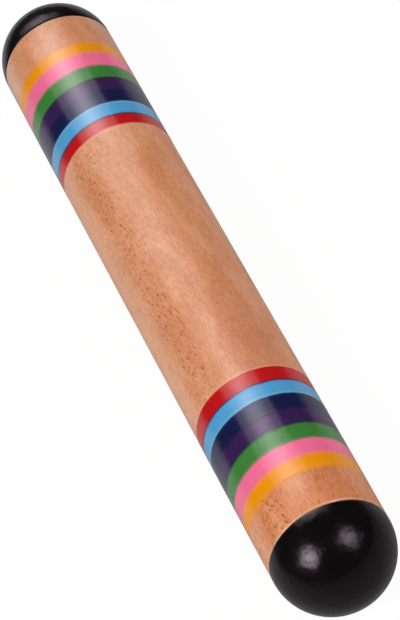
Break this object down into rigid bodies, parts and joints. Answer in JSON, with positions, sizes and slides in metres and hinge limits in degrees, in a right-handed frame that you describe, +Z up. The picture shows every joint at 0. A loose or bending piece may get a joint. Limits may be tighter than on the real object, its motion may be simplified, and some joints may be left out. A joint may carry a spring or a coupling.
{
  "type": "rain stick",
  "caption": "Wooden rain stick: a round tube with domed ends and painted stripes, with crossed pegs and loose beads inside that patter as it is tipped.",
  "frame": {"origin": "on the surface that the stick lies on, under the middle of the tube", "axes": "+X along the tube towards the end that is nearer in the picture, +Z up"},
  "size_m": [0.292, 0.04, 0.04],
  "materials": {
    "lacquered_beech": "beech with satin clear lacquer and painted stripes at both ends",
    "black_lacquer": "turned wood in black gloss lacquer",
    "raw_beech": "bare planed beech",
    "peg_birch": "bare birch dowel",
    "bead_steel": "plain rolled steel balls"
  },
  "bodies": {
    "stick": {"tube": "lacquered_beech", "near_end_cap": "black_lacquer", "far_end_cap": "black_lacquer", "core_rod": "raw_beech", "peg_01": "peg_birch", "peg_02": "peg_birch", "peg_03": "peg_birch", "peg_04": "peg_birch", "peg_05": "peg_birch", "peg_06": "peg_birch", "peg_07": "peg_birch", "peg_08": "peg_birch", "peg_09": "peg_birch", "peg_10": "peg_birch", "peg_11": "peg_birch", "peg_12": "peg_birch", "peg_13": "peg_birch", "peg_14": "peg_birch", "peg_15": "peg_birch", "peg_16": "peg_birch", "peg_17": "peg_birch", "peg_18": "peg_birch", "peg_19": "peg_birch", "peg_20": "peg_birch", "peg_21": "peg_birch"},
    "bead_01": {"bead_01": "bead_steel"},
    "bead_02": {"bead_02": "bead_steel"},
    "bead_03": {"bead_03": "bead_steel"},
    "bead_04": {"bead_04": "bead_steel"},
    "bead_05": {"bead_05": "bead_steel"},
    "bead_06": {"bead_06": "bead_steel"},
    "bead_07": {"bead_07": "bead_steel"},
    "bead_08": {"bead_08": "bead_steel"},
    "bead_09": {"bead_09": "bead_steel"},
    "bead_10": {"bead_10": "bead_steel"},
    "bead_11": {"bead_11": "bead_steel"},
    "bead_12": {"bead_12": "bead_steel"},
    "bead_13": {"bead_13": "bead_steel"},
    "bead_14": {"bead_14": "bead_steel"},
    "bead_15": {"bead_15": "bead_steel"},
    "bead_16": {"bead_16": "bead_steel"},
    "bead_17": {"bead_17": "bead_steel"},
    "bead_18": {"bead_18": "bead_steel"},
    "bead_19": {"bead_19": "bead_steel"},
    "bead_20": {"bead_20": "bead_steel"},
    "bead_21": {"bead_21": "bead_steel"},
    "bead_22": {"bead_22": "bead_steel"},
    "bead_23": {"bead_23": "bead_steel"},
    "bead_24": {"bead_24": "bead_steel"},
    "bead_25": {"bead_25": "bead_steel"},
    "bead_26": {"bead_26": "bead_steel"},
    "bead_27": {"bead_27": "bead_steel"},
    "bead_28": {"bead_28": "bead_steel"}
  },
  "joints": [
    {"name": "bead_01_run", "type": "slide", "parent": "stick", "child": "bead_01", "axis": [1, 0, 0], "range_m": [-0.0151, 0.0137]},
    {"name": "bead_02_run", "type": "slide", "parent": "stick", "child": "bead_02", "axis": [1, 0, 0], "range_m": [-0.0151, 0.0137]},
    {"name": "bead_03_run", "type": "slide", "parent": "stick", "child": "bead_03", "axis": [1, 0, 0], "range_m": [-0.0125, 0.021]},
    {"name": "bead_04_run", "type": "slide", "parent": "stick", "child": "bead_04", "axis": [1, 0, 0], "range_m": [-0.0125, 0.021]},
    {"name": "bead_05_run", "type": "slide", "parent": "stick", "child": "bead_05", "axis": [1, 0, 0], "range_m": [-0.0125, 0.021]},
    {"name": "bead_06_run", "type": "slide", "parent": "stick", "child": "bead_06", "axis": [1, 0, 0], "range_m": [-0.0151, 0.0337]},
    {"name": "bead_07_run", "type": "slide", "parent": "stick", "child": "bead_07", "axis": [1, 0, 0], "range_m": [-0.0151, 0.0337]},
    {"name": "bead_08_run", "type": "slide", "parent": "stick", "child": "bead_08", "axis": [1, 0, 0], "range_m": [-0.033, 0.013]},
    {"name": "bead_09_run", "type": "slide", "parent": "stick", "child": "bead_09", "axis": [1, 0, 0], "range_m": [-0.033, 0.013]},
    {"name": "bead_10_run", "type": "slide", "parent": "stick", "child": "bead_10", "axis": [1, 0, 0], "range_m": [-0.0203, 0.0204]},
    {"name": "bead_11_run", "type": "slide", "parent": "stick", "child": "bead_11", "axis": [1, 0, 0], "range_m": [-0.0203, 0.0204]},
    {"name": "bead_12_run", "type": "slide", "parent": "stick", "child": "bead_12", "axis": [1, 0, 0], "range_m": [-0.0203, 0.0204]},
    {"name": "bead_13_run", "type": "slide", "parent": "stick", "child": "bead_13", "axis": [1, 0, 0], "range_m": [-0.013, 0.033]},
    {"name": "bead_14_run", "type": "slide", "parent": "stick", "child": "bead_14", "axis": [1, 0, 0], "range_m": [-0.013, 0.033]},
    {"name": "bead_15_run", "type": "slide", "parent": "stick", "child": "bead_15", "axis": [1, 0, 0], "range_m": [-0.033, 0.013]},
    {"name": "bead_16_run", "type": "slide", "parent": "stick", "child": "bead_16", "axis": [1, 0, 0], "range_m": [-0.033, 0.013]},
    {"name": "bead_17_run", "type": "slide", "parent": "stick", "child": "bead_17", "axis": [1, 0, 0], "range_m": [-0.0204, 0.0203]},
    {"name": "bead_18_run", "type": "slide", "parent": "stick", "child": "bead_18", "axis": [1, 0, 0], "range_m": [-0.0204, 0.0203]},
    {"name": "bead_19_run", "type": "slide", "parent": "stick", "child": "bead_19", "axis": [1, 0, 0], "range_m": [-0.0204, 0.0203]},
    {"name": "bead_20_run", "type": "slide", "parent": "stick", "child": "bead_20", "axis": [1, 0, 0], "range_m": [-0.013, 0.033]},
    {"name": "bead_21_run", "type": "slide", "parent": "stick", "child": "bead_21", "axis": [1, 0, 0], "range_m": [-0.013, 0.033]},
    {"name": "bead_22_run", "type": "slide", "parent": "stick", "child": "bead_22", "axis": [1, 0, 0], "range_m": [-0.0337, 0.0151]},
    {"name": "bead_23_run", "type": "slide", "parent": "stick", "child": "bead_23", "axis": [1, 0, 0], "range_m": [-0.0337, 0.0151]},
    {"name": "bead_24_run", "type": "slide", "parent": "stick", "child": "bead_24", "axis": [1, 0, 0], "range_m": [-0.021, 0.0125]},
    {"name": "bead_25_run", "type": "slide", "parent": "stick", "child": "bead_25", "axis": [1, 0, 0], "range_m": [-0.021, 0.0125]},
    {"name": "bead_26_run", "type": "slide", "parent": "stick", "child": "bead_26", "axis": [1, 0, 0], "range_m": [-0.021, 0.0125]},
    {"name": "bead_27_run", "type": "slide", "parent": "stick", "child": "bead_27", "axis": [1, 0, 0], "range_m": [-0.0137, 0.0151]},
    {"name": "bead_28_run", "type": "slide", "parent": "stick", "child": "bead_28", "axis": [1, 0, 0], "range_m": [-0.0137, 0.0151]}
  ],
  "couplings": [
    {"joint": "bead_02_run", "follows": "bead_01_run", "ratio": 1},
    {"joint": "bead_04_run", "follows": "bead_03_run", "ratio": 1},
    {"joint": "bead_05_run", "follows": "bead_03_run", "ratio": 1},
    {"joint": "bead_07_run", "follows": "bead_06_run", "ratio": 1},
    {"joint": "bead_09_run", "follows": "bead_08_run", "ratio": 1},
    {"joint": "bead_11_run", "follows": "bead_10_run", "ratio": 1},
    {"joint": "bead_12_run", "follows": "bead_10_run", "ratio": 1},
    {"joint": "bead_14_run", "follows": "bead_13_run", "ratio": 1},
    {"joint": "bead_16_run", "follows": "bead_15_run", "ratio": 1},
    {"joint": "bead_18_run", "follows": "bead_17_run", "ratio": 1},
    {"joint": "bead_19_run", "follows": "bead_17_run", "ratio": 1},
    {"joint": "bead_21_run", "follows": "bead_20_run", "ratio": 1},
    {"joint": "bead_23_run", "follows": "bead_22_run", "ratio": 1},
    {"joint": "bead_25_run", "follows": "bead_24_run", "ratio": 1},
    {"joint": "bead_26_run", "follows": "bead_24_run", "ratio": 1},
    {"joint": "bead_28_run", "follows": "bead_27_run", "ratio": 1}
  ]
}
